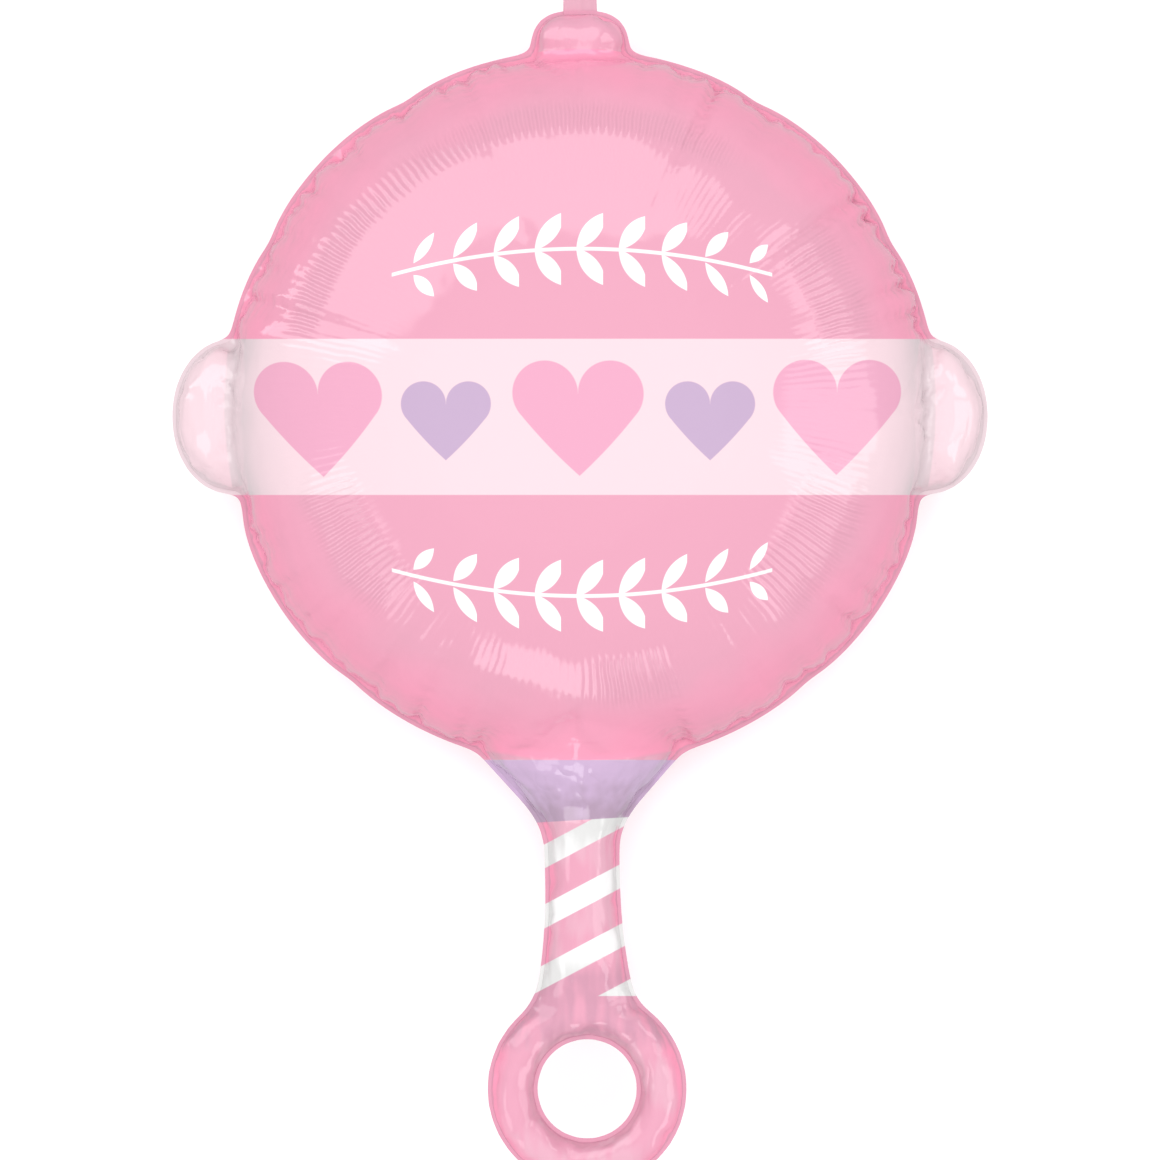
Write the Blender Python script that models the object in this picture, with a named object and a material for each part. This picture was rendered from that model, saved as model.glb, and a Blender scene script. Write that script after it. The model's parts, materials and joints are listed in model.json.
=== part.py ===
"""Foil balloon in the shape of a baby's rattle, air-filled and lying on its back.

Two sheets of foil are cut to one outline, welded along their edges and blown up, so the balloon is one closed
envelope with a thin weld seam all round. From the top it has a filling tail, a knob, a round lobed body with an
ear on each side, and a handle that flares out of the body and ends in a ring.
Metres, +Z up, +Y from the ring towards the tail. The origin is on the floor, at the middle of the outline.
"""

import math

import bmesh
import bpy
from mathutils import Vector

MM = 0.001

# Weld seam: the flat rim that runs round the outline and round the hole of the ring.
SEAM_WIDTH = 3.5 * MM
SEAM_THICKNESS = 1.0 * MM

# Body: a lens whose outline is a row of shallow lobes that meet in notches. Angles are in degrees above the
# level line through its middle, the same on the left and on the right. The notches run inwards as folds.
BODY_DEPTH = 260 * MM
FLAT_SPOT_RADIUS = 50 * MM
BODY_RADIUS = 225 * MM
HIP_SWELL = 2.5 * MM
BOTTOM_SWELL = 1.5 * MM
NOTCH_DEPTH = 3.8 * MM
LOWER_NOTCH_DEPTH = 0.7 * MM
NOTCH_SPREAD = 4.5
FOLD_FADE = 6
UPPER_NOTCH_ANGLE = 60
SHOULDER_NOTCH_ANGLE = 28
HIP_NOTCH_ANGLE = -16
LOWER_NOTCH_ANGLE = -50

# Ears: an oval pillow on each side, at the two ends of the printed band.
EAR_WIDTH = 76 * MM
EAR_HEIGHT = 98 * MM
EAR_DEPTH = 58 * MM
EAR_REACH = 32 * MM
EAR_DROP = 6 * MM
EAR_SQUARENESS = 2.05

# Knob and the flat filling tail above it.
KNOB_WIDTH = 63 * MM
KNOB_HEIGHT = 59 * MM
KNOB_DEPTH = 46 * MM
KNOB_RISE = 25 * MM
KNOB_SQUARENESS = 3
TAIL_WIDTH = 21.5 * MM
TAIL_LENGTH = 42 * MM
TAIL_THICKNESS = 1.6 * MM
TAIL_ROOT = 9 * MM

# Handle: a tube that flares into a cone under the body, is narrowest at its waist and widens to the ring.
HANDLE_LENGTH = 140 * MM
HANDLE_ROOT = 42 * MM
HANDLE_ROUNDNESS = 0.9
CONE_TOP_WIDTH = 112 * MM
CONE_SLOPE = 0.89
CONE_BLEND = 14 * MM
WAIST_WIDTH = 47.5 * MM
WAIST_DROP = 74 * MM
WAIST_CURVE = 340 * MM
DEPTH_EASING = 45 * MM
RING_FLARE = 6.5 * MM
FLARE_LENGTH = 20 * MM

# Ring at the end of the handle, a little to one side.
RING_DIAMETER = 126 * MM
RING_HOLE_DIAMETER = 62.5 * MM
RING_DEPTH = 27 * MM
RING_OFFSET = 4.5 * MM
RING_GRIP = 0.9

# How finely the shapes are faceted. A pillow's last loop, in its middle, is a small flat cap.
LOBE_STEP = 3.9
BODY_STEPS = 9
PILLOW_SEGMENTS = 36
PILLOW_STEPS = 6
RING_SEGMENTS = 48
TUBE_STEPS = 8
HANDLE_STATIONS = 23
CAP_SHARE = 0.1
BEYOND = 2

FOIL_PINK = (0.93, 0.45, 0.61, 1.0)
FOIL_ROUGHNESS = 0.2
FOIL_METALLIC = 0.2


def lens_height(share):
    """Height of a blown-up round of foil over its seam, from 1 in the middle to 0 at a share of 1 of its radius."""
    return math.sqrt(max(0.0, 1 - share**3))


RING_RADIUS = RING_DIAMETER / 2
RING_TUBE_RADIUS = (RING_DIAMETER + RING_HOLE_DIAMETER) / 4
HANDLE_END = HANDLE_LENGTH + RING_RADIUS - RING_TUBE_RADIUS
BODY_BOTTOM = BODY_RADIUS + BOTTOM_SWELL
RING_DROP = BODY_BOTTOM + HANDLE_LENGTH + RING_RADIUS
LOW_END = RING_DROP + RING_RADIUS
HIGH_END = BODY_RADIUS + KNOB_RISE + TAIL_LENGTH
BODY_Y = (LOW_END - HIGH_END) / 2
FLAT_SHARE = FLAT_SPOT_RADIUS / (BODY_RADIUS - SEAM_WIDTH)
SEAM_Z = SEAM_THICKNESS / 2 + (BODY_DEPTH - SEAM_THICKNESS) / 2 * lens_height(FLAT_SHARE)


def notches():
    """The body's notches anticlockwise from the lower one on the right and once round: angle and radius."""
    shallow = BODY_RADIUS - LOWER_NOTCH_DEPTH
    deep = BODY_RADIUS - NOTCH_DEPTH
    right = [
        (LOWER_NOTCH_ANGLE, shallow),
        (HIP_NOTCH_ANGLE, deep),
        (SHOULDER_NOTCH_ANGLE, deep),
        (UPPER_NOTCH_ANGLE, deep),
    ]
    left = [(180 - angle, radius) for angle, radius in reversed(right)]
    return [*right, *left, (LOWER_NOTCH_ANGLE + 360, shallow)]


def lobes():
    """The body's lobes: the notches at both ends and the radius between them."""
    half = [BODY_RADIUS + HIP_SWELL, BODY_RADIUS, BODY_RADIUS]
    return zip(notches(), notches()[1:], [*half, BODY_RADIUS, *reversed(half), BODY_BOTTOM])


def body_outline(share):
    """The body's outline seen from above, drawn in to a share of its radius. Beyond 1 it is the seam's edge."""
    points = []
    for (first, first_radius), (last, last_radius), radius in lobes():
        steps = max(2, round((last - first) / LOBE_STEP))
        for step in range(steps):
            angle = first + (last - first) * step / steps
            first_dip = (radius - first_radius) * math.exp((first - angle) / NOTCH_SPREAD)
            last_dip = (radius - last_radius) * math.exp((angle - last) / NOTCH_SPREAD)
            dip = max(first_dip, last_dip)
            reach = radius - dip if share > 1 else (radius - SEAM_WIDTH - dip * share**FOLD_FADE) * share
            points.append((reach * math.cos(math.radians(angle)), reach * math.sin(math.radians(angle))))
    return points


def oval_outline(width, height, squareness, share):
    """An oval's outline seen from above, squarer at a higher squareness, drawn in as the body's is."""
    points = []
    margin = 0 if share > 1 else SEAM_WIDTH
    for step in range(PILLOW_SEGMENTS):
        angle = math.tau * step / PILLOW_SEGMENTS
        across = abs(math.cos(angle) / (width / 2 - margin)) ** squareness
        along = abs(math.sin(angle) / (height / 2 - margin)) ** squareness
        reach = min(share, 1) * (across + along) ** (-1 / squareness)
        points.append((reach * math.cos(angle), reach * math.sin(angle)))
    return points


def pillow(name, outline, depth, steps, x, y, back_flat=CAP_SHARE):
    """A closed pillow of two foil sheets. Its loops go from the middle of the back, out to the seam and over the
    front. outline(share) gives a loop, and the seam's edge beyond 1."""
    even = [math.cos(math.pi / 2 * step / steps) ** (2 / 3) for step in range(steps)]
    front = [share for share in even if share > CAP_SHARE] + [CAP_SHARE]
    back = [share for share in even if share > back_flat] + [back_flat]
    half_seam = SEAM_THICKNESS / 2
    rise = depth / 2 - half_seam
    levels = [(share, -half_seam - rise * lens_height(share)) for share in reversed(back)]
    levels += [(BEYOND, -half_seam), (BEYOND, half_seam)]
    levels += [(share, half_seam + rise * lens_height(share)) for share in front]
    loops = [[(x + px, y + py, SEAM_Z + height) for px, py in outline(share)] for share, height in levels]
    return lofted(name, loops)


def tube_section(half_width, half_depth):
    """The outline of a tube of two foil sheets with a seam along both sides: places across and heights."""
    half_seam = SEAM_THICKNESS / 2
    turns = [math.pi * step / TUBE_STEPS for step in range(TUBE_STEPS + 1)]
    inner = half_width - SEAM_WIDTH
    rise = half_depth - half_seam
    half = [(half_width, half_seam)]
    half += [(inner * math.cos(turn), half_seam + rise * math.sin(turn)) for turn in turns]
    half += [(-half_width, half_seam)]
    return half + [(-across, -height) for across, height in half]


def lofted(name, loops):
    """A closed solid drawn from loop to loop, all with as many corners, and capped at both ends."""
    form = bmesh.new()
    first_cap = form.faces.new([form.verts.new(place) for place in loops[0]])
    cap = first_cap
    for loop in loops[1:]:
        drawn = bmesh.ops.extrude_face_region(form, geom=[cap])["geom"]
        if cap is not first_cap:
            form.faces.remove(cap)
        cap = next(item for item in drawn if isinstance(item, bmesh.types.BMFace))
        for vert, place in zip(cap.verts, loop):
            vert.co = place
    return finished(name, form)


def finished(name, form):
    """Turn a bmesh into an object of the guide collection, with its faces pointing out."""
    bmesh.ops.recalc_face_normals(form, faces=form.faces)
    mesh = bpy.data.meshes.new(name)
    form.to_mesh(mesh)
    form.free()
    mesh.shade_smooth()
    mesh.set_sharp_from_angle(angle=math.radians(50))
    thing = bpy.data.objects.new(name, mesh)
    bpy.data.collections["shapes to join"].objects.link(thing)
    thing.hide_render = True
    thing.display_type = "WIRE"
    return thing


def body():
    """The round lobed body, with a flat spot to lie on."""
    return pillow("body", body_outline, BODY_DEPTH, BODY_STEPS, 0, BODY_Y, FLAT_SHARE)


def ear(side):
    """The ear on the right (side 1) or on the left (side -1)."""
    x = side * (BODY_RADIUS + EAR_REACH - EAR_WIDTH / 2)

    def outline(share):
        return oval_outline(EAR_WIDTH, EAR_HEIGHT, EAR_SQUARENESS, share)

    return pillow("ear", outline, EAR_DEPTH, PILLOW_STEPS, x, BODY_Y - EAR_DROP)


def knob():
    """The knob at the top of the body."""

    def outline(share):
        return oval_outline(KNOB_WIDTH, KNOB_HEIGHT, KNOB_SQUARENESS, share)

    y = BODY_Y + BODY_RADIUS + KNOB_RISE - KNOB_HEIGHT / 2
    return pillow("knob", outline, KNOB_DEPTH, PILLOW_STEPS, 0, y)


def tail():
    """The flat filling tail that stands out of the knob."""
    form = bmesh.new()
    length = TAIL_LENGTH + TAIL_ROOT
    middle = Vector((0, BODY_Y + HIGH_END - length / 2, SEAM_Z))
    bmesh.ops.create_cube(form, size=1.0)
    bmesh.ops.scale(form, vec=(TAIL_WIDTH, length, TAIL_THICKNESS), verts=form.verts)
    bmesh.ops.translate(form, vec=middle, verts=form.verts)
    return finished("tail", form)


def nearness(distance, reach):
    """From 0 at a distance of the reach or more to 1 at no distance."""
    return min(1.0, max(0.0, 1 - distance / reach))


def handle_half_width(drop):
    """Half the handle's width at a drop below the body's lower edge: the cone and the waist, blended, and the
    flare into the ring."""
    cone = CONE_TOP_WIDTH / 2 - CONE_SLOPE * drop
    waist = WAIST_WIDTH / 2 + max(0.0, drop - WAIST_DROP) ** 2 / (2 * WAIST_CURVE)
    blend = max(0.0, CONE_BLEND - abs(cone - waist)) ** 2 / (4 * CONE_BLEND)
    return max(cone, waist) + blend + RING_FLARE * nearness(HANDLE_END - drop, FLARE_LENGTH) ** 2


def handle():
    """The handle, from inside the body to inside the ring's tube, where it is as thin as the ring."""
    loops = []
    for station in range(HANDLE_STATIONS):
        drop = -HANDLE_ROOT + (HANDLE_END + HANDLE_ROOT) * station / (HANDLE_STATIONS - 1)
        half_width = handle_half_width(drop)
        near = nearness(HANDLE_END - drop, DEPTH_EASING)
        eased = near * near * (3 - 2 * near)
        half_depth = half_width * HANDLE_ROUNDNESS * (1 - eased) + RING_GRIP * RING_DEPTH / 2 * eased
        x = RING_OFFSET * max(0.0, drop) / (HANDLE_LENGTH + RING_RADIUS)
        y = BODY_Y - BODY_BOTTOM - drop
        loops.append([(x + across, y, SEAM_Z + up) for across, up in tube_section(half_width, half_depth)])
    return lofted("handle", loops)


def ring():
    """The ring: a tube with a seam round its outside and round its hole."""
    middle = Vector((RING_OFFSET, BODY_Y - RING_DROP, SEAM_Z))
    section = tube_section((RING_DIAMETER - RING_HOLE_DIAMETER) / 4, RING_DEPTH / 2)
    form = bmesh.new()
    corners = [form.verts.new(middle + Vector((RING_TUBE_RADIUS + across, 0, up))) for across, up in section]
    edges = [form.edges.new(pair) for pair in zip(corners, corners[1:] + corners[:1])]
    turn = {"cent": middle, "axis": (0, 0, 1), "angle": math.tau, "steps": RING_SEGMENTS}
    bmesh.ops.spin(form, geom=corners + edges, use_merge=True, **turn)
    return finished("ring", form)


def foil_material():
    """Pale pink glossy foil."""
    material = bpy.data.materials.new("pink foil")
    material.use_nodes = True
    shader = material.node_tree.nodes["Principled BSDF"]
    shader.inputs["Base Color"].default_value = FOIL_PINK
    shader.inputs["Roughness"].default_value = FOIL_ROUGHNESS
    shader.inputs["Metallic"].default_value = FOIL_METALLIC
    material.diffuse_color = FOIL_PINK
    return material


def envelope():
    """The balloon: all its shapes joined into one closed piece of foil."""
    whole = body()
    bpy.data.collections["shapes to join"].objects.unlink(whole)
    bpy.data.collections["foil balloon"].objects.link(whole)
    whole.name = "foil_envelope"
    whole.hide_render = False
    whole.display_type = "TEXTURED"
    whole.data.materials.append(foil_material())
    for shape in (ear(1), ear(-1), knob(), tail(), handle(), ring()):
        join = whole.modifiers.new(f"join {shape.name}", "BOOLEAN")
        join.operation = "UNION"
        join.object = shape
    return whole


def main():
    for thing in list(bpy.data.objects):
        bpy.data.objects.remove(thing)
    for name in ("foil balloon", "shapes to join"):
        bpy.context.scene.collection.children.link(bpy.data.collections.new(name))
    envelope()


main()
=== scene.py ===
"""Foil balloon in the shape of a baby's rattle, lying on its back and seen from above.

Makes the blown-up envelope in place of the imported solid, prints its band, hearts, leaves, collar and
stripes, and sets a plain studio. Lengths are in metres, +Z is up and +Y runs from the ring to the filling
tail.
"""

import itertools
import json
import math

import bmesh
import bpy
import numpy as np
from bpy.props import FloatProperty, FloatVectorProperty, IntProperty, PointerProperty
from bpy.types import Operator, Panel, PropertyGroup
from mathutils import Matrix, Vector, noise
from mathutils.kdtree import KDTree


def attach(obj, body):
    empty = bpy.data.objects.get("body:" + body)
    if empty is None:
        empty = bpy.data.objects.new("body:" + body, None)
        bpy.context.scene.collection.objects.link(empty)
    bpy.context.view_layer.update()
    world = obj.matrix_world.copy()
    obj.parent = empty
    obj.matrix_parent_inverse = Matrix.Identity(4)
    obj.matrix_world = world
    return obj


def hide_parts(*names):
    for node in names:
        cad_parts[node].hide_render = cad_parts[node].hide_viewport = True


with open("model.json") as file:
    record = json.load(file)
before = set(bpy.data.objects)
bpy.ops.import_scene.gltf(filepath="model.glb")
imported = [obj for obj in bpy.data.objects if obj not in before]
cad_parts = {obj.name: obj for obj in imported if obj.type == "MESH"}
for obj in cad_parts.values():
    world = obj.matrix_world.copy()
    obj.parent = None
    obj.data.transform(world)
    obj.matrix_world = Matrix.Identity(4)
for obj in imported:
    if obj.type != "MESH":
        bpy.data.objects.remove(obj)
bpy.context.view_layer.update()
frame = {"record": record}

bl_info = {
    "name": "Foil balloon",
    "version": (1, 0, 0),
    "blender": (4, 5, 0),
    "location": "3D View > Sidebar > Foil balloon",
    "description": "Makes a rattle-shaped foil balloon and a studio for it",
    "category": "Add Mesh",
}

NODE = "foil_envelope"
MOUNTS = frame["record"]["mounts"]

# The back's mount lies under the body's middle, and the tail's mount on the tail's upper face, which is half
# the tail's thickness above the seam.
BODY_Y = MOUNTS[0]["pos_m"][1]
SEAM_HEIGHT = MOUNTS[1]["pos_m"][2] - 0.0008

# The print is laid out as it looks from this height above the seam. One unit of it is 0.63 mm on the seam's
# plane.
VIEW_HEIGHT = 4.06
VIEW_Y = BODY_Y - 0.10899
UNIT = 0.00063

# How wide the edge of a printed shape is, in the print's units.
PRINT_EDGE = 0.8


def length(name, default, description):
    """A size in metres that the panel shows."""
    return FloatProperty(name=name, default=default, description=description, unit="LENGTH", precision=4)


def colour(name, default, description):
    """A printed colour that the panel shows."""
    return FloatVectorProperty(name=name, default=default, description=description, subtype="COLOR", size=3,
                               min=0.0, max=1.0)


class BalloonSizes(PropertyGroup):
    """Sizes of the blown-up envelope."""

    seam_width: length("Seam width", 0.0023, "Width of the weld seam all round")
    seam_thickness: length("Seam thickness", 0.0004, "Thickness of the two welded sheets")
    body_radius: length("Body radius", 0.225, "Middle of the body to the seam's edge")
    body_depth: length("Body depth", 0.26, "Body from front to back")
    hip_swell: length("Hip swell", 0.0025, "How far the lower side lobes stand out further")
    bottom_swell: length("Bottom swell", 0.0015, "How far the lowest lobe stands out further")
    notch_depth: length("Notch depth", 0.0038, "Depth of the notches between the lobes")
    lower_notch_depth: length("Lower notch depth", 0.0007, "Depth of the lowest pair of notches")
    ear_width: length("Ear width", 0.076, "Width of an ear's oval")
    ear_height: length("Ear height", 0.098, "Height of an ear's oval")
    ear_depth: length("Ear depth", 0.058, "Ear from front to back")
    ear_reach: length("Ear reach", 0.032, "How far an ear stands out of the body")
    ear_drop: length("Ear drop", 0.006, "How far the ears' middle is below the body's middle")
    knob_width: length("Knob width", 0.063, "Width of the knob")
    knob_height: length("Knob height", 0.059, "Height of the knob's oval")
    knob_depth: length("Knob depth", 0.046, "Knob from front to back")
    knob_rise: length("Knob rise", 0.025, "How far the knob stands out of the body")
    tail_width: length("Tail width", 0.0215, "Width of the filling tail")
    tail_length: length("Tail length", 0.042, "Filling tail from the knob to its end")
    handle_length: length("Handle length", 0.14, "Body's lower edge to the ring's upper edge")
    cone_top_width: length("Cone width", 0.112, "Width of the handle's cone at the body's lower edge")
    waist_width: length("Waist width", 0.0475, "Width of the handle at its narrowest")
    waist_drop: length("Waist drop", 0.074, "Body's lower edge to the narrowest place of the handle")
    ring_diameter: length("Ring diameter", 0.126, "Outer diameter of the ring")
    ring_hole: length("Ring hole", 0.0625, "Diameter of the ring's hole")
    ring_depth: length("Ring depth", 0.027, "Ring from front to back")
    ring_offset: length("Ring offset", 0.0045, "How far the ring is to one side")
    grain: length("Mesh size", 0.0029, "Side of a face of the foil's surface")
    pucker: length("Pucker depth", 0.0038, "Depth of a usual pucker at the seam")
    pucker_gap: length("Pucker gap", 0.014, "Usual distance between two puckers at the seam")
    seed: IntProperty(name="Seed", default=7, description="Picks where the puckers lie")


class BalloonColours(PropertyGroup):
    """Colours of the printed foil, and of the shade and highlights painted on it."""

    pink: colour("Pink", (0.608, 0.281, 0.376), "Body, handle and ring")
    # Painted shade: a darker pink on the foil's steep sides near the seam.
    seam_shade_pink: colour("Deep pink", (0.745, 0.258, 0.385), "Pink near the seam")
    rim_pink: colour("Pink of the rim", (0.565, 0.258, 0.35), "Pink on the weld seam")
    # Painted highlights: paler patches on the crumpled narrow parts, where the foil would mirror light.
    highlight_pink: colour("Pale pink", (0.61, 0.325, 0.41), "Mottled places of the narrow parts")
    # Painted shade in the fold where the handle runs into the ring.
    joint_shade: colour("Pink of the joint", (0.50, 0.245, 0.33), "Where the handle runs into the ring")
    tail: colour("Tail", (0.56, 0.305, 0.38), "Filling tail")
    band: colour("Band", (0.685, 0.515, 0.56), "Band and ears")
    # Painted shade on the band near the seam and in the crease between the body and the ears.
    band_shade: colour("Band's edge", (0.58, 0.475, 0.505), "Band near the seam")
    heart: colour("Hearts", (0.63, 0.30, 0.418), "Large hearts")
    lilac: colour("Small hearts", (0.425, 0.31, 0.448), "Small hearts")
    collar: colour("Collar", (0.475, 0.34, 0.50), "Collar of the handle")
    # Painted shade along the collar's lower edge.
    collar_shade: colour("Collar's edge", (0.36, 0.255, 0.35), "Collar's lower edge")
    white: colour("White", (0.73, 0.73, 0.73), "Stripes and leaves")
    # Painted shade on the stripes near the seam and at the handle's two ends.
    white_shade: colour("White's edge", (0.58, 0.58, 0.575), "Stripes near the seam")


def body_outline(sizes, angle, fade):
    """Distance from the body's middle to the inner edge of its seam, at an angle in degrees from +X towards
    +Y. The notches between its lobes count as much as fade says."""
    above = (angle + 90) % 360 - 90
    if above > 90:
        above = 180 - above
    shallow = sizes.body_radius - sizes.lower_notch_depth
    deep = sizes.body_radius - sizes.notch_depth
    radii = (sizes.body_radius + sizes.bottom_swell, sizes.body_radius + sizes.hip_swell, sizes.body_radius,
             sizes.body_radius, sizes.body_radius)
    notches = ((-130, shallow), (-50, shallow), (-16, deep), (28, deep), (60, deep), (120, deep))
    notch_spread = 4.5
    for (first, first_radius), (last, last_radius), radius in zip(notches, notches[1:], radii):
        if first <= above <= last:
            first_dip = (radius - first_radius) * math.exp((first - above) / notch_spread)
            last_dip = (radius - last_radius) * math.exp((above - last) / notch_spread)
            return radius - max(first_dip, last_dip) * fade - sizes.seam_width
    raise ValueError(f"no lobe at {angle} degrees")


def add_pillow(form, reach, depth, middle, segments, rings):
    """Press a ball into a pillow of two foil sheets. reach(angle, share) is how far a corner goes from the
    middle."""
    ball = bmesh.ops.create_uvsphere(form, u_segments=segments, v_segments=rings, radius=1.0)["verts"]
    for vert in ball:
        share = vert.co.xy.length ** (2 / 3)
        angle = math.atan2(vert.co.y, vert.co.x)
        away = reach(angle, share)
        vert.co = middle + Vector((away * math.cos(angle), away * math.sin(angle), vert.co.z * depth / 2))


def oval_reach(width, height, squareness, margin):
    """The reach of an oval pillow inside its seam."""

    def reach(angle, share):
        across = abs(math.cos(angle) / (width / 2 - margin)) ** squareness
        along = abs(math.sin(angle) / (height / 2 - margin)) ** squareness
        return share * (across + along) ** (-1 / squareness)

    return reach


def handle_half_width(sizes, drop):
    """Half the handle's width at a drop below the body's lower edge. A cone runs into a waist, which widens
    slowly and flares out at the ring."""
    cone_slope = 0.89
    waist_curve = 0.68
    rounding = 0.014
    flare = 0.0065
    flare_length = 0.02
    cone = sizes.cone_top_width / 2 - cone_slope * drop
    waist = sizes.waist_width / 2 + max(0.0, drop - sizes.waist_drop) ** 2 / waist_curve
    blend = max(0.0, rounding - abs(cone - waist)) ** 2 / (4 * rounding)
    return max(cone, waist) + blend + flare * nearness(handle_end(sizes) - drop, flare_length) ** 2


def handle_end(sizes):
    """The drop at which the handle ends, on the crown of the ring's tube."""
    return sizes.handle_length + (sizes.ring_diameter - sizes.ring_hole) / 4


def nearness(distance, reach):
    """From 0 at a distance of the reach or more to 1 at no distance."""
    return min(1.0, max(0.0, 1 - distance / reach))


def add_handle(form, sizes):
    """Draw a ball out into the handle, from inside the body to inside the ring's tube. It flattens towards
    the ring, and only the ball's poles stay on the middle line."""
    root = 0.042
    flattening_length = 0.045
    flatness = 0.9
    end_flatness = 0.45
    end = handle_end(sizes)
    ball = bmesh.ops.create_uvsphere(form, u_segments=64, v_segments=90, radius=1.0)["verts"]
    for vert in ball:
        along = 0.5 + math.asin(max(-1.0, min(1.0, vert.co.z))) / math.pi
        drop = -root + (end + root) * along
        half_width = handle_half_width(sizes, drop)
        near = nearness(end - drop, flattening_length)
        eased = near * near * (3 - 2 * near)
        half_depth = half_width * flatness * (1 - eased) + end_flatness * sizes.ring_depth * eased
        angle = math.atan2(vert.co.y, vert.co.x)
        size = min(1.0, vert.co.xy.length * 1000)
        lean = sizes.ring_offset * max(0.0, drop) / (sizes.handle_length + sizes.ring_diameter / 2)
        vert.co = Vector((
            lean + size * (half_width - sizes.seam_width) * math.cos(angle),
            BODY_Y - sizes.body_radius - sizes.bottom_swell - drop,
            SEAM_HEIGHT + size * half_depth * math.sin(angle),
        ))


def add_ring(form, sizes):
    """Turn an oval section round the ring's middle."""
    tube_radius = (sizes.ring_diameter + sizes.ring_hole) / 4
    half_tube = (sizes.ring_diameter - sizes.ring_hole) / 4 - sizes.seam_width
    middle = ring_middle(sizes)
    section = bmesh.ops.create_circle(form, segments=40, radius=1.0)["verts"]
    for vert in section:
        vert.co = middle + Vector((tube_radius + half_tube * vert.co.x, 0, sizes.ring_depth / 2 * vert.co.y))
    edges = list(dict.fromkeys(edge for vert in section for edge in vert.link_edges))
    bmesh.ops.spin(form, geom=section + edges, cent=middle, axis=(0, 0, 1), angle=math.tau, steps=144,
                   use_merge=True)


def ring_middle(sizes):
    """The middle of the ring's hole."""
    drop = sizes.body_radius + sizes.bottom_swell + sizes.handle_length + sizes.ring_diameter / 2
    return Vector((sizes.ring_offset, BODY_Y - drop, SEAM_HEIGHT))


def smooth_form(sizes):
    """The blown-up envelope with no wrinkles and no rim, as one fine even mesh with loops at the seam."""
    form = bmesh.new()
    margin = sizes.seam_width

    def body_reach(angle, share):
        return share * body_outline(sizes, math.degrees(angle), share**6)

    add_pillow(form, body_reach, sizes.body_depth, Vector((0, BODY_Y, SEAM_HEIGHT)), 360, 96)
    ear = oval_reach(sizes.ear_width, sizes.ear_height, 2.05, margin)
    for side in (-1, 1):
        x = side * (sizes.body_radius + sizes.ear_reach - sizes.ear_width / 2)
        add_pillow(form, ear, sizes.ear_depth, Vector((x, BODY_Y - sizes.ear_drop, SEAM_HEIGHT)), 120, 48)
    knob = oval_reach(sizes.knob_width, sizes.knob_height, 3, margin)
    y = BODY_Y + sizes.body_radius + sizes.knob_rise - sizes.knob_height / 2
    add_pillow(form, knob, sizes.knob_depth, Vector((0, y, SEAM_HEIGHT)), 96, 40)
    add_handle(form, sizes)
    add_ring(form, sizes)
    bmesh.ops.recalc_face_normals(form, faces=form.faces)
    thing = new_object("rough", form)
    remesh = thing.modifiers.new("even mesh", "REMESH")
    remesh.mode = "VOXEL"
    remesh.voxel_size = sizes.grain
    graph = bpy.context.evaluated_depsgraph_get()
    even = bpy.data.meshes.new_from_object(thing.evaluated_get(graph))
    rough = thing.data
    bpy.data.objects.remove(thing)
    bpy.data.meshes.remove(rough)
    form = bmesh.new()
    form.from_mesh(even)
    bpy.data.meshes.remove(even)
    for _ in range(3):
        bmesh.ops.smooth_vert(form, verts=form.verts, factor=0.5, use_axis_x=True, use_axis_y=True,
                              use_axis_z=True)
    everything = form.verts[:] + form.edges[:] + form.faces[:]
    close = sizes.grain / 6
    bmesh.ops.bisect_plane(form, geom=everything, dist=close, plane_co=(0, 0, SEAM_HEIGHT),
                           plane_no=(0, 0, 1))
    for vert in form.verts:
        if abs(vert.co.z - SEAM_HEIGHT) <= close:
            vert.co.z = SEAM_HEIGHT
    front = form.faces.layers.int.new("front")
    for face in form.faces:
        face[front] = int(face.calc_center_median().z > SEAM_HEIGHT + 1e-7)
    return form


def seam_edges(form):
    """The edges between the front sheet and the back sheet."""
    front = form.faces.layers.int["front"]
    return [edge for edge in form.edges if len({face[front] for face in edge.link_faces}) == 2]


def seam_loops(form):
    """The loops of corners along the seam, each in its order and turning left, the longest first. Each starts
    at the mesh's first edge of it, so that every run gives the same puckers."""
    edges = seam_edges(form)
    left = set(edges)
    loops = []
    for start in edges:
        if start not in left:
            continue
        left.discard(start)
        first, vert = start.verts
        loop = [first]
        while vert is not first:
            loop.append(vert)
            edge = next(other for other in vert.link_edges if other in left)
            left.discard(edge)
            vert = edge.other_vert(vert)
        turn = sum(a.co.x * b.co.y - a.co.y * b.co.x for a, b in zip(loop, loop[1:] + loop[:1]))
        if turn < 0:
            loop.reverse()
        loops.append(loop)
    return sorted(loops, key=len, reverse=True)


def smoothed(places, weight=0.25):
    """A closed line with each of its points drawn towards its neighbours."""
    return (1 - 2 * weight) * places + weight * (np.roll(places, 1, axis=0) + np.roll(places, -1, axis=0))


def rim_places(loop, width, side):
    """Where a loop of the seam ends up on the rim's outer edge. It grows sideways in small steps, so that it
    rounds off in the corners and doesn't cross itself there."""
    places = np.array([vert.co.xy for vert in loop])
    steps = 8
    for _ in range(steps):
        along = np.roll(places, -1, axis=0) - np.roll(places, 1, axis=0)
        away = np.stack([along[:, 1], -along[:, 0]], axis=1) * side
        for _ in range(3):
            away = smoothed(away)
        away /= np.linalg.norm(away, axis=1)[:, None]
        places = places + away * width / steps
        inward = smoothed(places) - places
        outward_part = np.maximum(0, (inward * away).sum(axis=1))[:, None] * away
        places = places + outward_part
    return places


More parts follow.
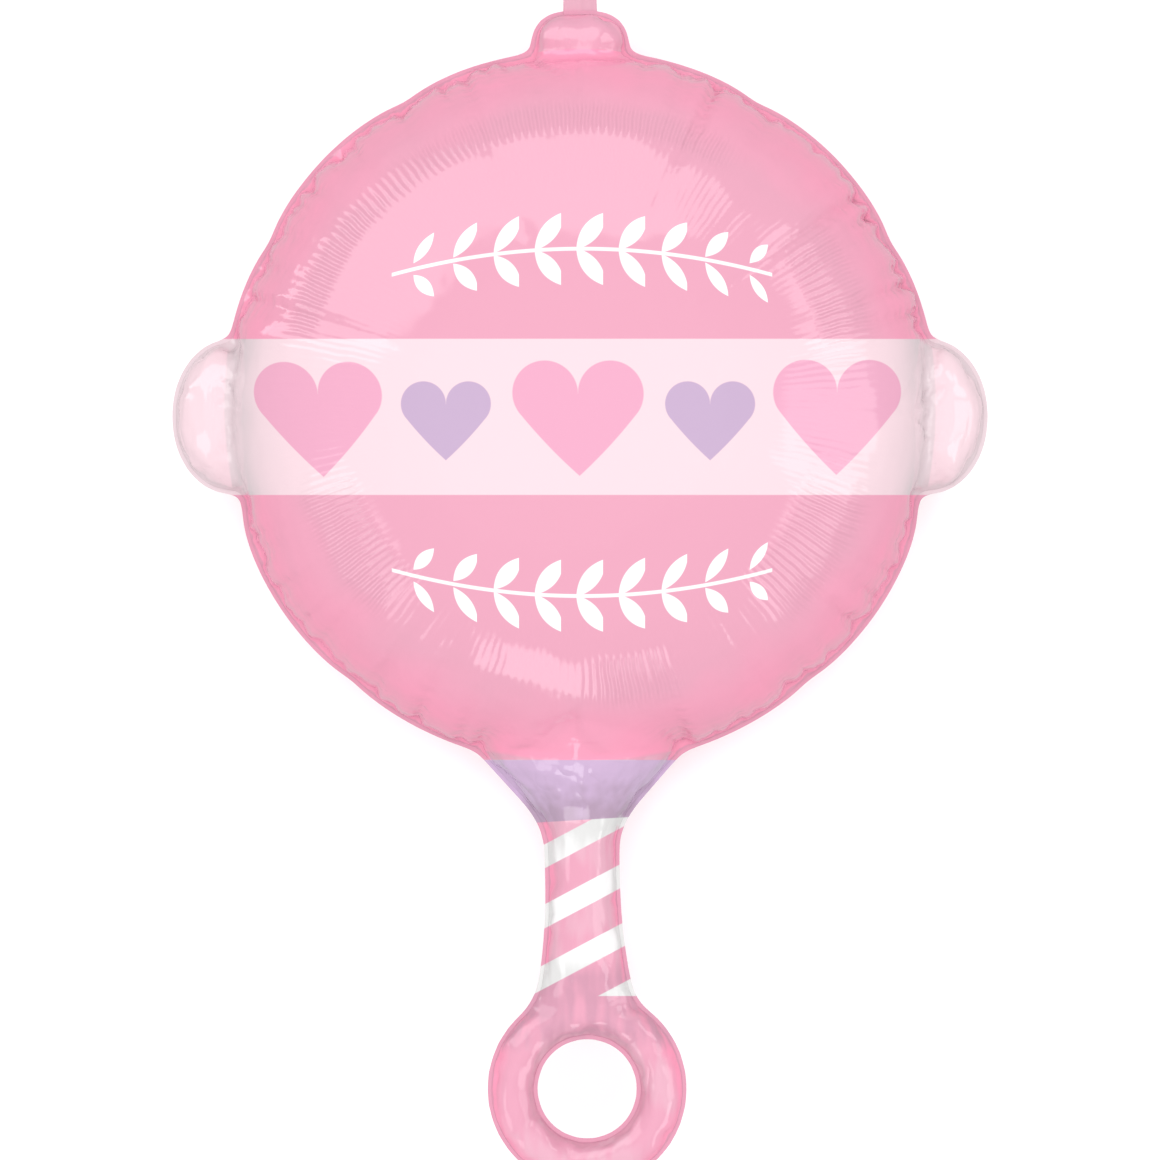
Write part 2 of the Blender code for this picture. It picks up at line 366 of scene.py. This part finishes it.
def add_seam(form, sizes):
    """Part the two sheets along the seam and weld a thin rim between them."""
    mark = form.verts.layers.int.new("seam")
    rims = []
    for number, loop in enumerate(seam_loops(form)):
        side = 1 if number == 0 else -1
        for vert, place in zip(loop, rim_places(loop, sizes.seam_width, side)):
            rims.append(place)
            vert[mark] = len(rims)
    bmesh.ops.split_edges(form, edges=seam_edges(form))
    edges = [edge for edge in form.edges if edge.is_boundary]
    for face in form.faces:
        face.smooth = True
    for edge in edges:
        edge.smooth = False
    front = form.faces.layers.int["front"]
    roots = {vert for edge in edges for vert in edge.verts}
    drawn = bmesh.ops.extrude_edge_only(form, edges=edges)["geom"]
    rim = [item for item in drawn if isinstance(item, bmesh.types.BMVert)]
    for vert in rim:
        root = next(edge.other_vert(vert) for edge in vert.link_edges if edge.other_vert(vert) in roots)
        vert.co.xy = rims[root[mark] - 1]
    for vert in roots:
        above = any(face[front] for face in vert.link_faces)
        vert.co.z += sizes.seam_thickness / 2 * (1 if above else -1)
    bmesh.ops.remove_doubles(form, verts=rim, dist=0.00001)
    bmesh.ops.recalc_face_normals(form, faces=form.faces)


def random_puckers(sizes, total, scale, dice):
    """Places along a seam of a total length, with each pucker's depth, width and reach."""
    gap = sizes.pucker_gap * scale
    count = int(total / gap)
    gaps = dice.uniform(0.5, 1.5, count)
    places = np.cumsum(gaps) / gaps.sum() * total
    depths = sizes.pucker * scale * dice.lognormal(0.0, 0.45, count)
    widths = gap * dice.uniform(0.25, 0.45, count)
    reaches = scale * dice.lognormal(0.0, 0.4, count)
    return places, depths, widths, reaches


def along_seam(loop):
    """How far along its loop each corner is, and the loop's whole length."""
    line = np.array([vert.co.xy for vert in loop])
    steps = np.linalg.norm(np.roll(line, -1, axis=0) - line, axis=1)
    return np.cumsum(steps) - steps, steps.sum()


def seam_table(loops, places):
    """For each place, the number of the nearest loop, how far along it that is, and how far away across the
    foil."""
    tree = KDTree(sum(len(loop) for loop in loops))
    owners = []
    starts = []
    for number, loop in enumerate(loops):
        for vert, start in zip(loop, along_seam(loop)[0]):
            tree.insert((vert.co.x, vert.co.y, 0), len(starts))
            owners.append(number)
            starts.append(start)
    tree.balance()
    found = [tree.find((x, y, 0)) for x, y in places[:, :2]]
    nearest = np.array([item[1] for item in found])
    away = np.hypot([item[2] for item in found], places[:, 2] - SEAM_HEIGHT)
    return np.array(owners)[nearest], np.array(starts)[nearest], away


def wrinkle(form, sizes):
    """Pucker the foil along the seam, let the seam wander up and down, and crumple the narrow parts."""
    body_reach, narrow_reach = 0.11, 0.022
    pucker_ease, crumple_ease = 0.006, 0.008
    sheet_crumple, narrow_crumple = 0.0002, 0.0011
    wander_height, wander_reach = 0.0022, 0.022
    slow_height = 0.0009
    form.verts.ensure_lookup_table()
    form.normal_update()
    places = np.array([vert.co for vert in form.verts])
    normals = np.array([vert.normal for vert in form.verts])
    loops = seam_loops(form)
    owner, along, away = seam_table(loops, places)
    narrow = narrowness(sizes, places)
    reach = body_reach * (1 - narrow) + narrow_reach * narrow
    strength = 1 - 0.5 * narrow
    push = np.zeros(len(places))
    dice = np.random.default_rng(sizes.seed)
    for number, loop in enumerate(loops):
        total = along_seam(loop)[1]
        for front, scale in itertools.product((True, False), (1.0, 0.6)):
            mine = (owner == number) & ((places[:, 2] > SEAM_HEIGHT) == front)
            spots, depths, widths, reaches = random_puckers(sizes, total, scale, dice)
            after = np.searchsorted(spots, along[mine]) % len(spots)
            for which in (after, after - 1):
                apart = np.abs(along[mine] - spots[which])
                apart = np.minimum(apart, np.abs(total - apart))
                far = away[mine] / (reach[mine] * reaches[which])
                fade = np.clip(1 - far, 0, 1) ** 1.2 * np.clip(away[mine] / pucker_ease, 0, 1)
                width = widths[which] * (0.75 + 1.3 * far)
                push[mine] -= strength[mine] * depths[which] * fade * np.exp(-(apart / width) ** 1.5)
    crumpled = np.clip(away / crumple_ease, 0, 1) * (sheet_crumple + narrow_crumple * narrow)
    wander = wander_height * (1 - 0.65 * narrow) * np.exp(-away / wander_reach)
    held = {vert for loop in loops for vert in loop}
    for index, vert in enumerate(form.verts):
        spot = Vector(places[index])
        if vert not in held:
            slow = noise.noise(spot * 14) * slow_height
            vert.co += Vector(normals[index]) * (push[index] + slow + crumple(spot) * crumpled[index])
        vert.co.z += wander[index] * noise.noise(Vector((spot.x, spot.y, 0.0)) * 36)
        vert.co.z = max(0.0, vert.co.z)


def crumple(place):
    """Sharp-edged creases, as foil has where it is crumpled, from -1 to 1. They run rather along +Y."""
    place = Vector((place.x, place.y * 0.5, place.z))
    coarse = abs(noise.noise(place * 42 + Vector((3.1, 7.7, 1.3))))
    fine = abs(noise.noise(place * 100 + Vector((9.4, 2.2, 5.8))))
    return 0.6 - 2.0 * coarse - 0.7 * fine


def narrowness(sizes, places):
    """From 0 on the body to 1 on the ears, the knob, the handle and the ring."""
    radius = np.hypot(places[:, 0], places[:, 1] - BODY_Y)
    blend = 0.012
    return np.clip((radius - sizes.body_radius + blend / 2) / blend, 0, 1)


class BALLOON_OT_envelope(Operator):
    """Make the blown-up foil envelope with its puckers and its weld seam"""

    bl_idname = "balloon.envelope"
    bl_label = "Foil envelope"

    def execute(self, context):
        sizes = context.scene.balloon_sizes
        form = smooth_form(sizes)
        wrinkle(form, sizes)
        add_seam(form, sizes)
        piece = new_piece("balloon_foil", form)
        piece.data.materials.append(printed_foil(sizes, context.scene.balloon_colours))
        return {"FINISHED"}


def new_object(name, form):
    """An object in the scene with a form's mesh."""
    mesh = bpy.data.meshes.new(name)
    form.to_mesh(mesh)
    form.free()
    thing = bpy.data.objects.new(name, mesh)
    bpy.context.scene.collection.objects.link(thing)
    return thing


def new_piece(name, form):
    """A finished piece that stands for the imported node."""
    piece = new_object(name, form)
    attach(piece, "root")
    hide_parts(NODE)
    return piece


def new_material(name):
    """A material and its shader."""
    material = bpy.data.materials.new(name)
    material.use_nodes = True
    return material, material.node_tree.nodes["Principled BSDF"]


class BALLOON_OT_tail(Operator):
    """Make the flat filling tail that is welded to the knob"""

    bl_idname = "balloon.tail"
    bl_label = "Filling tail"

    def execute(self, context):
        sizes = context.scene.balloon_sizes
        form = bmesh.new()
        bmesh.ops.create_grid(form, x_segments=24, y_segments=56, size=0.5)
        inside = 0.009
        edge_wander = 0.0007
        wave_height = 0.0011
        crease_height = 0.0005
        thickness = 0.0006
        knob_top = BODY_Y + sizes.body_radius + sizes.knob_rise
        for vert in form.verts:
            across, along = vert.co.x, vert.co.y + 0.5
            edge = edge_wander * noise.noise(Vector((across * 3, along * 5, 2.0)))
            wave = wave_height * noise.noise(Vector((across * 2.2, along * 2.6, 7.0)))
            wave += crease_height * crumple(Vector((across * 0.05, along * 0.04, 0.3)))
            vert.co = Vector((
                across * sizes.tail_width * 0.98 + edge,
                knob_top - inside + (inside + sizes.tail_length) * along,
                SEAM_HEIGHT + wave * min(1.0, along * 4),
            ))
        bmesh.ops.solidify(form, geom=form.faces[:], thickness=thickness)
        bmesh.ops.recalc_face_normals(form, faces=form.faces)
        for face in form.faces:
            face.smooth = True
        piece = new_piece("filling_tail", form)
        piece.data.materials.append(bpy.data.materials["printed foil"])
        return {"FINISHED"}


class Value:
    """A value in a material's nodes that takes part in ordinary sums."""

    def __init__(self, tree, socket):
        self.tree = tree
        self.socket = socket

    def node(self, kind, settings, inputs, output=0):
        """Add a node of any kind. Its inputs take numbers, colours or other values."""
        node = self.tree.nodes.new(kind)
        for name, setting in settings.items():
            setattr(node, name, setting)
        for key, value in inputs.items():
            if isinstance(value, Value):
                self.tree.links.new(value.socket, node.inputs[key])
            else:
                node.inputs[key].default_value = value
        return Value(self.tree, node.outputs[output])

    def sum(self, operation, *others):
        return self.node("ShaderNodeMath", {"operation": operation}, dict(enumerate((self, *others))))

    def __add__(self, other):
        return self.sum("ADD", other)

    def __mul__(self, other):
        return self.sum("MULTIPLY", other)

    def __sub__(self, other):
        return self.sum("SUBTRACT", other)

    def __rsub__(self, other):
        return self * -1 + other

    def __truediv__(self, other):
        return self.sum("DIVIDE", other)

    def __pow__(self, other):
        return self.sum("POWER", other)

    def __abs__(self):
        return self.sum("ABSOLUTE")

    __radd__ = __add__
    __rmul__ = __mul__

    def step(self, width):
        """From 0 where the value is well under nothing to 1 where it is well over, across a width."""
        settings = {"operation": "MULTIPLY_ADD", "use_clamp": True}
        return self.node("ShaderNodeMath", settings, {0: self, 1: 1 / width, 2: 0.5})

    def within(self, half, width):
        """1 where the value is at most half away from nothing."""
        return (half - abs(self)).step(width)

    def mixed(self, first, second):
        """The first colour where the value is 0 and the second where it is 1."""
        first, second = (paint if isinstance(paint, Value) else (*paint, 1.0) for paint in (first, second))
        inputs = {"Factor": self, 6: first, 7: second}
        return self.node("ShaderNodeMix", {"data_type": "RGBA"}, inputs, output=2)

    def clouds(self, scale, squeezed=1.0):
        """Soft noise over a place. It runs along +Y where the place is squeezed."""
        inputs = {0: self, 1: (1.0, squeezed, 1.0)}
        drawn = self.node("ShaderNodeVectorMath", {"operation": "MULTIPLY"}, inputs)
        return self.node("ShaderNodeTexNoise", {}, {"Vector": drawn, "Scale": scale, "Detail": 1.0})


def heart(x, y, middle_x, middle_y, radius, drop, lean):
    """1 inside a heart, in the print's units: two rounds that touch at its middle, drawn down to a tip at a
    drop."""
    up = y - middle_y
    across = abs(x - middle_x - lean * up)
    rounds = radius - ((across - radius) * (across - radius) + up * up) ** 0.5
    half_tip = 2 * math.atan(radius / drop)
    roundness = 0.08
    edge = 0.9
    along = (up + drop) * math.cos(half_tip) + across * math.sin(half_tip)
    inside = (up + drop) * math.sin(half_tip) - across * math.cos(half_tip)
    swell = along * (drop - along) * (roundness / drop)
    point = (inside + swell).sum("MINIMUM", drop - along).sum("MINIMUM", 0 - up)
    return rounds.sum("MAXIMUM", point).step(edge)


def sprig(x, y, middle_x, middle_y, bow, half_length):
    """1 inside a row of paired leaves on a bowed stem, in the print's units."""
    pitch = 42.0
    cosine, sine = 0.62, 0.785
    leaf_start, leaf_shift = 20, 4
    leaf_half_length, leaf_half_width = 24, 8.5
    stem_half_width = 1.8
    away = x - middle_x
    up = y - middle_y - bow * (1 - (away / half_length) ** 2)
    cell = (away / pitch + 0.5).sum("FLOOR")
    local = away - cell * pitch
    size = 1 - 0.45 * (away / half_length) * (away / half_length)
    side = abs(up)
    turned_x = (local * cosine + side * sine - leaf_start) / size
    turned_y = (local * sine - side * cosine + leaf_shift) / size
    leaf = (leaf_half_width * (1 - (turned_x / leaf_half_length) ** 2) - abs(turned_y)).step(PRINT_EDGE)
    stem = up.within(stem_half_width, PRINT_EDGE)
    return leaf.sum("MAXIMUM", stem) * away.within(half_length, PRINT_EDGE)


def printed_foil(sizes, colours):
    """Glossy pastel foil with the band, hearts, collar, stripes and leaves of its print, painted shade near
    the seam, at the joint of handle and ring, on the collar's lower edge and at the stripes' ends, and
    painted highlight patches on the narrow parts.
    """
    material, shader = new_material("printed foil")
    tree = material.node_tree
    coordinates = tree.nodes.new("ShaderNodeTexCoord")
    place = Value(tree, coordinates.outputs["Object"])
    parts = tree.nodes.new("ShaderNodeSeparateXYZ")
    tree.links.new(place.socket, parts.inputs[0])
    flat_x, flat_y, flat_z = (Value(tree, socket) for socket in parts.outputs)
    height = flat_z - SEAM_HEIGHT
    spread = (1 + height / VIEW_HEIGHT) / UNIT
    x = flat_x * spread
    y = (flat_y - VIEW_Y) * spread
    front = height.step(0.0006)
    radius = (flat_x * flat_x + (flat_y - BODY_Y) * (flat_y - BODY_Y)) ** 0.5
    turn = (flat_y - BODY_Y).sum("ARCTAN2", flat_x)
    body_edge = 0.2225
    narrow = (radius - body_edge).step(0.004)
    cloudy = place.clouds(24.0)
    streak = place.clouds(130.0, squeezed=0.18)
    ring_x, ring_y, _ = ring_middle(sizes)
    from_ring = ((flat_x - ring_x) * (flat_x - ring_x) + (flat_y - ring_y) * (flat_y - ring_y)) ** 0.5

    # Painted shade: the pink, the band and the stripes turn darker near the seam, where the foil's steep
    # sides lie in shade. It reaches further from the seam on the body than on the narrow parts, and is only
    # on the outer side of the ring.
    edge = (1.2 - abs(height) / (0.07 - 0.061 * narrow) - cloudy * 0.5).step(0.7)
    edge = edge * (from_ring - (sizes.ring_diameter + sizes.ring_hole) / 4).step(0.006)
    # Painted highlights: pale patches mottle the narrow parts.
    painted_highlights = (cloudy + streak * 0.6 - 0.84).step(0.14) * narrow
    # Painted shade darkens the top of the ring, in the fold where the handle meets it.
    near_ring = (0.068 - from_ring + streak * 0.02).step(0.012)
    above_ring = (flat_y - ring_y - 0.04 + streak * 0.02).step(0.012)
    pink = painted_highlights.mixed(colours.pink, colours.highlight_pink)
    pink = edge.mixed(pink, colours.seam_shade_pink)
    pink = height.within(0.002, 0.001).mixed(pink, colours.rim_pink)
    pink = (near_ring * above_ring * (streak - 0.4).step(0.3)).mixed(pink, colours.joint_shade)
    ragged = (streak - 0.5) * 50

    # Painted shade darkens the band near the seam.
    band = (edge * edge).mixed(colours.band, colours.band_shade)
    band_middle, band_half_height = 163, 78
    paint = (y - band_middle).within(band_half_height, PRINT_EDGE).mixed(pink, band)
    for middle_x, middle_y, half_round, drop, lean, tint in (
        (-262.0, 186, 32.0, 83, -0.07, colours.heart),
        (-2.0, 186.5, 32.8, 82.5, -0.02, colours.heart),
        (257.0, 188, 32.0, 83, 0.01, colours.heart),
        (-134, 176, 22.5, 56.5, 0.0, colours.lilac),
        (130, 176, 22.5, 56.5, 0.0, colours.lilac),
    ):
        paint = (heart(x, y, middle_x, middle_y, half_round, drop, lean) * front).mixed(paint, tint)
    leaves = sprig(x, y, 2, 305, 26, 190).sum("MAXIMUM", sprig(x, y, 2, 10, -26, 190))
    paint = (leaves * front).mixed(paint, colours.white)

    # The stripes are white in the middle of the handle; painted shade greys them near the seam and at the
    # handle's two ends.
    collar_top, stripes_end = -180, -416
    low = (collar_top - y).step(PRINT_EDGE)
    handle = low * (y - stripes_end).step(PRINT_EDGE)
    bright_middle, bright_half_length = -322, 52
    stripe_shade = edge.sum("MAXIMUM", (abs(y - bright_middle) - bright_half_length + ragged).step(32))
    white = stripe_shade.mixed(colours.white, colours.white_shade)
    stripe_y, stripe_pitch, stripe_slope = -256, 60, 0.53
    slant = (y - stripe_y - (x - 3) * stripe_slope) / stripe_pitch
    stripe = (slant - (slant + 0.5).sum("FLOOR")).within(0.2, 0.016)
    paint = (stripe * handle).mixed(paint, white)

    # Painted shade darkens the collar towards its lower edge.
    collar_end, collar_slope, collar_shade_height = -240, 0.06, 22
    above_edge = y - collar_end - x * collar_slope
    collar_shade_mask = (collar_shade_height - above_edge + ragged).step(34)
    collar = collar_shade_mask.mixed(colours.collar, colours.collar_shade)
    paint = (above_edge.step(PRINT_EDGE) * low).mixed(paint, collar)
    tail_start = 570
    paint = (y - tail_start).step(3).mixed(paint, colours.tail)

    tree.links.new(paint.socket, shader.inputs["Base Color"])
    shader.inputs["Roughness"].default_value = 0.1
    shader.inputs["IOR"].default_value = 1.42
    relief = foil_relief(place, radius, turn, narrow, streak)
    bump = place.node("ShaderNodeBump", {}, {"Height": relief, "Distance": 1.0, "Strength": 1.0})
    tree.links.new(bump.socket, shader.inputs["Normal"])
    return material


def foil_relief(place, radius, turn, narrow, streak):
    """Height in metres of the foil's fine relief: combed ripples in fields round the body, slow waves all
    over, and crumples and streaks on the ears, the knob, the handle and the ring. Each field has its middle
    and half its width in degrees round the body, and its inner and outer radius."""
    ripple_rate = 225
    ripple_height = 0.0003
    combed = 0.12
    for middle, half, inner, outer in (
        (25, 12, 0.154, 0.189),
        (-32, 14, 0.147, 0.189),
        (-79, 8, 0.158, 0.189),
        (-148, 15, 0.147, 0.184),
        (112, 54, 0.168, 0.186),
    ):
        field = (turn - math.radians(middle)).within(math.radians(half), 0.12)
        combed = field * (radius - inner).step(0.006) * (outer - radius).step(0.008) + combed
    combed = combed * (radius - 0.13).step(0.03) * (0.196 - radius).step(0.02)
    slow = place.clouds(40.0)
    ripples = (turn * ripple_rate + slow * 5).sum("SINE") * combed
    coarse = place.clouds(60.0, squeezed=0.35)
    creases = abs(coarse - 0.5) * 0.0022 + streak * 0.0006
    return ripples * ripple_height + slow * (0.0006 - 0.0003 * narrow) + creases * narrow


class BALLOON_OT_studio(Operator):
    """Make the floor, the lights and the camera"""

    bl_idname = "balloon.studio"
    bl_label = "Studio"

    def execute(self, context):
        form = bmesh.new()
        bmesh.ops.create_grid(form, x_segments=1, y_segments=1, size=8.0)
        floor = new_object("floor", form)
        material, shader = new_material("floor")
        shader.inputs["Base Color"].default_value = (0.93, 0.93, 0.93, 1.0)
        shader.inputs["Roughness"].default_value = 0.9
        floor.data.materials.append(material)
        floor.visible_glossy = False
        context.scene.world = pale_room()
        sizes = context.scene.balloon_sizes
        for name, glow, spans in (
            ("top and left", 3.6, ((57, 210, 262), (72, 186, 276), (90, 175, 279), (108, 184, 281),
                                   (120, 200, 284), (137, 182, 292), (152, 190, 318), (165, 204, 336))),
            ("right", 4.0, ((14, 252, 286), (26, 236, 288), (38, 248, 282))),
            ("right of the band", 3.0, ((-13, 216, 300), (0, 205, 300), (8, 214, 296))),
            ("lower window", 4.8, ((249, 250, 282), (260, 253, 287), (272, 256, 292))),
            ("lower left", 3.4, ((196, 246, 284), (206, 232, 288), (216, 236, 288), (228, 256, 284))),
            ("lower right", 4.2, ((312, 262, 290), (322, 240, 290), (334, 226, 288), (345, 250, 284))),
        ):
            add_reflector(name, sizes, spans, glow)
        sun = bpy.data.lights.new("overhead", "SUN")
        sun.energy = 0.72 * math.pi
        sun.angle = math.radians(40)
        overhead = bpy.data.objects.new("overhead", sun)
        overhead.rotation_euler = (math.radians(-1.5), math.radians(-1), 0)
        overhead.visible_glossy = False
        context.scene.collection.objects.link(overhead)
        camera = bpy.data.cameras.new("camera")
        camera.lens = 200
        camera.sensor_width = 36
        thing = bpy.data.objects.new("camera", camera)
        thing.location = (0, VIEW_Y, SEAM_HEIGHT + VIEW_HEIGHT)
        context.scene.collection.objects.link(thing)
        context.scene.camera = thing
        context.scene.view_settings.view_transform = "Standard"
        return {"FINISHED"}


def pale_room():
    """Light from all sides, dimmer below the horizon, where the foil near the seam mirrors its own shade."""
    world = bpy.data.worlds.new("studio")
    world.use_nodes = True
    world.cycles.sampling_method = "NONE"
    tree = world.node_tree
    way = tree.nodes.new("ShaderNodeTexCoord")
    parts = tree.nodes.new("ShaderNodeSeparateXYZ")
    tree.links.new(way.outputs["Generated"], parts.inputs[0])
    rise = Value(tree, parts.outputs["Z"])
    background = tree.nodes["Background"]
    background.inputs["Color"].default_value = (1.0, 1.0, 1.0, 1.0)
    tree.links.new(((rise + 0.2).step(0.4) * 0.25 + 0.6).socket, background.inputs["Strength"])
    return world


def mirrored_spot(sizes, turn, radius, away):
    """What the smooth body mirrors to the camera, that far away from it, at a place of the print: a turn in
    degrees round the body's middle and a radius in the print's units."""
    turn = math.radians(turn)
    print_x = radius * math.cos(turn)
    print_y = radius * math.sin(turn) + (BODY_Y - VIEW_Y) / UNIT
    height = 0.0
    for _ in range(5):
        shrink = UNIT / (1 + height / VIEW_HEIGHT)
        x, y = print_x * shrink, print_y * shrink + VIEW_Y - BODY_Y
        share = math.hypot(x, y) / sizes.body_radius
        height = sizes.body_depth / 2 * math.sqrt(1 - share**3)
    steepness = (sizes.body_depth / 2) ** 2 * 1.5 * share**2 / (sizes.body_radius * height)
    normal = Vector((steepness * x, steepness * y, math.hypot(x, y))).normalized()
    spot = Vector((x, y + BODY_Y, SEAM_HEIGHT + height))
    towards = (Vector((0, VIEW_Y, SEAM_HEIGHT + VIEW_HEIGHT)) - spot).normalized()
    return spot + (2 * normal.dot(towards) * normal - towards) * away


def add_reflector(name, sizes, spans, glow):
    """A soft box beside the camera that the body mirrors as a bright field. Its spans give the field's inner
    and outer radius at some turns round the body, and its glow is how bright it looks."""
    away = 2.4
    turns = [span[0] for span in spans]
    form = bmesh.new()
    bmesh.ops.create_grid(form, x_segments=36, y_segments=10, size=0.5)
    for vert in form.verts:
        turn = turns[0] + (turns[-1] - turns[0]) * (vert.co.x + 0.5)
        inner = np.interp(turn, turns, [span[1] for span in spans])
        outer = np.interp(turn, turns, [span[2] for span in spans])
        vert.co = mirrored_spot(sizes, turn, inner + (outer - inner) * (vert.co.y + 0.5), away)
    material, shader = new_material(name)
    material.cycles.emission_sampling = "NONE"
    shader.inputs["Base Color"].default_value = (0.0, 0.0, 0.0, 1.0)
    shader.inputs["Emission Color"].default_value = (1.0, 1.0, 1.0, 1.0)
    shader.inputs["Emission Strength"].default_value = glow
    box = new_object(name, form)
    box.data.materials.append(material)
    box.visible_camera = False
    box.visible_diffuse = False
    box.visible_shadow = False


class BALLOON_PT_panel(Panel):
    """Lists what the balloon is made of"""

    bl_idname = "BALLOON_PT_panel"
    bl_label = "Foil balloon"
    bl_space_type = "VIEW_3D"
    bl_region_type = "UI"
    bl_category = "Foil balloon"

    def draw(self, context):
        for step in (BALLOON_OT_envelope, BALLOON_OT_tail, BALLOON_OT_studio):
            self.layout.operator(step.bl_idname)
        for group in (context.scene.balloon_sizes, context.scene.balloon_colours):
            box = self.layout.box()
            for name in group.bl_rna.properties.keys():
                if name not in ("rna_type", "name"):
                    box.prop(group, name)


CLASSES = (
    BalloonSizes,
    BalloonColours,
    BALLOON_OT_envelope,
    BALLOON_OT_tail,
    BALLOON_OT_studio,
    BALLOON_PT_panel,
)


def register():
    for cls in CLASSES:
        bpy.utils.register_class(cls)
    bpy.types.Scene.balloon_sizes = PointerProperty(type=BalloonSizes)
    bpy.types.Scene.balloon_colours = PointerProperty(type=BalloonColours)


def unregister():
    del bpy.types.Scene.balloon_colours
    del bpy.types.Scene.balloon_sizes
    for cls in reversed(CLASSES):
        bpy.utils.unregister_class(cls)


def main():
    register()
    bpy.ops.balloon.envelope()
    bpy.ops.balloon.tail()
    bpy.ops.balloon.studio()


if __name__ == "__main__":
    main()
